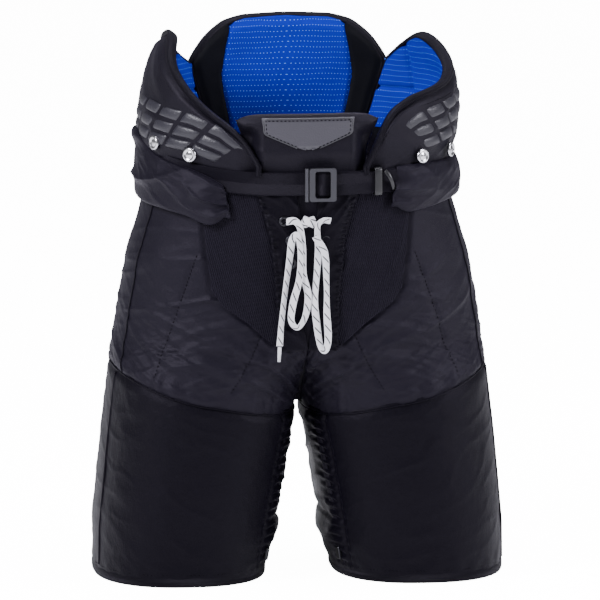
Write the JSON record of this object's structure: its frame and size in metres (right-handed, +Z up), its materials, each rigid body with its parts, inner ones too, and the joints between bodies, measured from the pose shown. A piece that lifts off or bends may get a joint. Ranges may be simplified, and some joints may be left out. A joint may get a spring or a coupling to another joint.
{
  "type": "ice hockey pants",
  "caption": "Padded ice hockey pants with a lace fly, a belt with a metal buckle, rising side and back kidney flaps and padded thighs",
  "frame": {"origin": "bottom centre of the bounding box, on the surface that both hems stand on", "axes": "Z up, the front faces -Y and X runs across the hips towards the wearer's left"},
  "size_m": [0.4406, 0.2644, 0.586],
  "materials": {
    "black_nylon": "matt woven nylon",
    "rib_knit": "ribbed knit",
    "stretch_fabric": "elastic woven fabric",
    "grey_lining": "brushed lining",
    "blue_mesh": "open blue mesh",
    "white_foam": "closed-cell foam",
    "guard_plastic": "moulded plastic",
    "black_webbing": "woven tape",
    "grey_leather": "grained synthetic leather",
    "buckle_metal": "satin metal",
    "snap_metal": "polished metal",
    "dark_metal": "blackened metal",
    "white_lace": "flat woven lace",
    "aglet_plastic": "clear sleeve"
  },
  "bodies": {
    "hips": {"hip_shell_left": "black_nylon", "rib_panel_left": "rib_knit", "fly_placket_left": "black_nylon", "hip_guard_left": "guard_plastic", "hip_foam_left": "white_foam", "stretch_zone_left": "stretch_fabric", "belt_sleeve_left": "black_nylon", "eyelet_left_1": "dark_metal", "eyelet_left_2": "dark_metal", "eyelet_left_3": "dark_metal", "hip_shell_right": "black_nylon", "rib_panel_right": "rib_knit", "fly_placket_right": "black_nylon", "hip_guard_right": "guard_plastic", "hip_foam_right": "white_foam", "stretch_zone_right": "stretch_fabric", "belt_sleeve_right": "black_nylon", "eyelet_right_1": "dark_metal", "eyelet_right_2": "dark_metal", "eyelet_right_3": "dark_metal", "fly_tongue": "black_nylon", "waist_lining": "grey_lining", "tail_pad": "white_foam", "belt_webbing": "black_webbing", "belt_keeper": "guard_plastic", "buckle_roller": "buckle_metal", "lace_tail": "white_lace", "lace_loop": "white_lace", "lace_knot": "white_lace", "aglet": "aglet_plastic"},
    "leg_left": {"leg_shell_left": "black_nylon", "hem_binding_left": "black_webbing", "thigh_guard_left": "guard_plastic", "thigh_foam_left": "white_foam", "leg_lining_left": "grey_lining", "zip_tape_left": "black_webbing"},
    "zip_left": {"zip_slider_left": "dark_metal"},
    "fin_left": {"fin_cover_left": "black_nylon", "fin_foam_left": "white_foam", "fin_lining_left": "blue_mesh", "snap_cap_left_1": "snap_metal", "snap_cap_left_2": "snap_metal"},
    "leg_right": {"leg_shell_right": "black_nylon", "hem_binding_right": "black_webbing", "thigh_guard_right": "guard_plastic", "thigh_foam_right": "white_foam", "leg_lining_right": "grey_lining", "zip_tape_right": "black_webbing"},
    "zip_right": {"zip_slider_right": "dark_metal"},
    "fin_right": {"fin_cover_right": "black_nylon", "fin_foam_right": "white_foam", "fin_lining_right": "blue_mesh", "snap_cap_right_1": "snap_metal", "snap_cap_right_2": "snap_metal"},
    "back_pad": {"back_cover": "black_nylon", "back_foam": "white_foam", "back_lining": "blue_mesh"},
    "front_guard": {"front_guard": "black_nylon", "front_patch": "grey_leather"},
    "buckle": {"buckle_frame": "buckle_metal"}
  },
  "joints": [
    {"name": "leg_left_bend", "type": "hinge", "parent": "hips", "child": "leg_left", "pos_m": [0, 0.0012, 0.225], "axis": [-1, 0, 0], "range_deg": [-10, 28], "deforming": ["stretch_zone_left"]},
    {"name": "zip_left_slide", "type": "slide", "parent": "leg_left", "child": "zip_left", "axis": [-0.1809, -0.0112, 0.9834], "range_m": [0, 0.1141]},
    {"name": "fin_left_fold", "type": "hinge", "parent": "hips", "child": "fin_left", "pos_m": [0.184, 0, 0.45548], "axis": [0, 1, 0], "range_deg": [0, 20], "stiffness_Nm_per_rad": 1.5},
    {"name": "leg_right_bend", "type": "hinge", "parent": "hips", "child": "leg_right", "pos_m": [0, 0.0012, 0.225], "axis": [-1, 0, 0], "range_deg": [-10, 28], "deforming": ["stretch_zone_right"]},
    {"name": "zip_right_slide", "type": "slide", "parent": "leg_right", "child": "zip_right", "axis": [0.1809, -0.0112, 0.9834], "range_m": [0, 0.1141]},
    {"name": "fin_right_fold", "type": "hinge", "parent": "hips", "child": "fin_right", "pos_m": [-0.184, 0, 0.47333], "axis": [0, -1, 0], "range_deg": [0, 20], "stiffness_Nm_per_rad": 1.5},
    {"name": "back_pad_fold", "type": "hinge", "parent": "hips", "child": "back_pad", "pos_m": [0, 0.11503, 0.4645], "axis": [-1, 0, 0], "range_deg": [0, 16], "stiffness_Nm_per_rad": 2},
    {"name": "front_guard_fold", "type": "hinge", "parent": "hips", "child": "front_guard", "pos_m": [0, -0.11373, 0.4525], "axis": [1, 0, 0], "range_deg": [-12, 18], "stiffness_Nm_per_rad": 0.6},
    {"name": "buckle_swing", "type": "hinge", "parent": "hips", "child": "buckle", "pos_m": [-0.0022, -0.12505, 0.438], "axis": [0, 0, -1], "range_deg": [0, 50]}
  ]
}
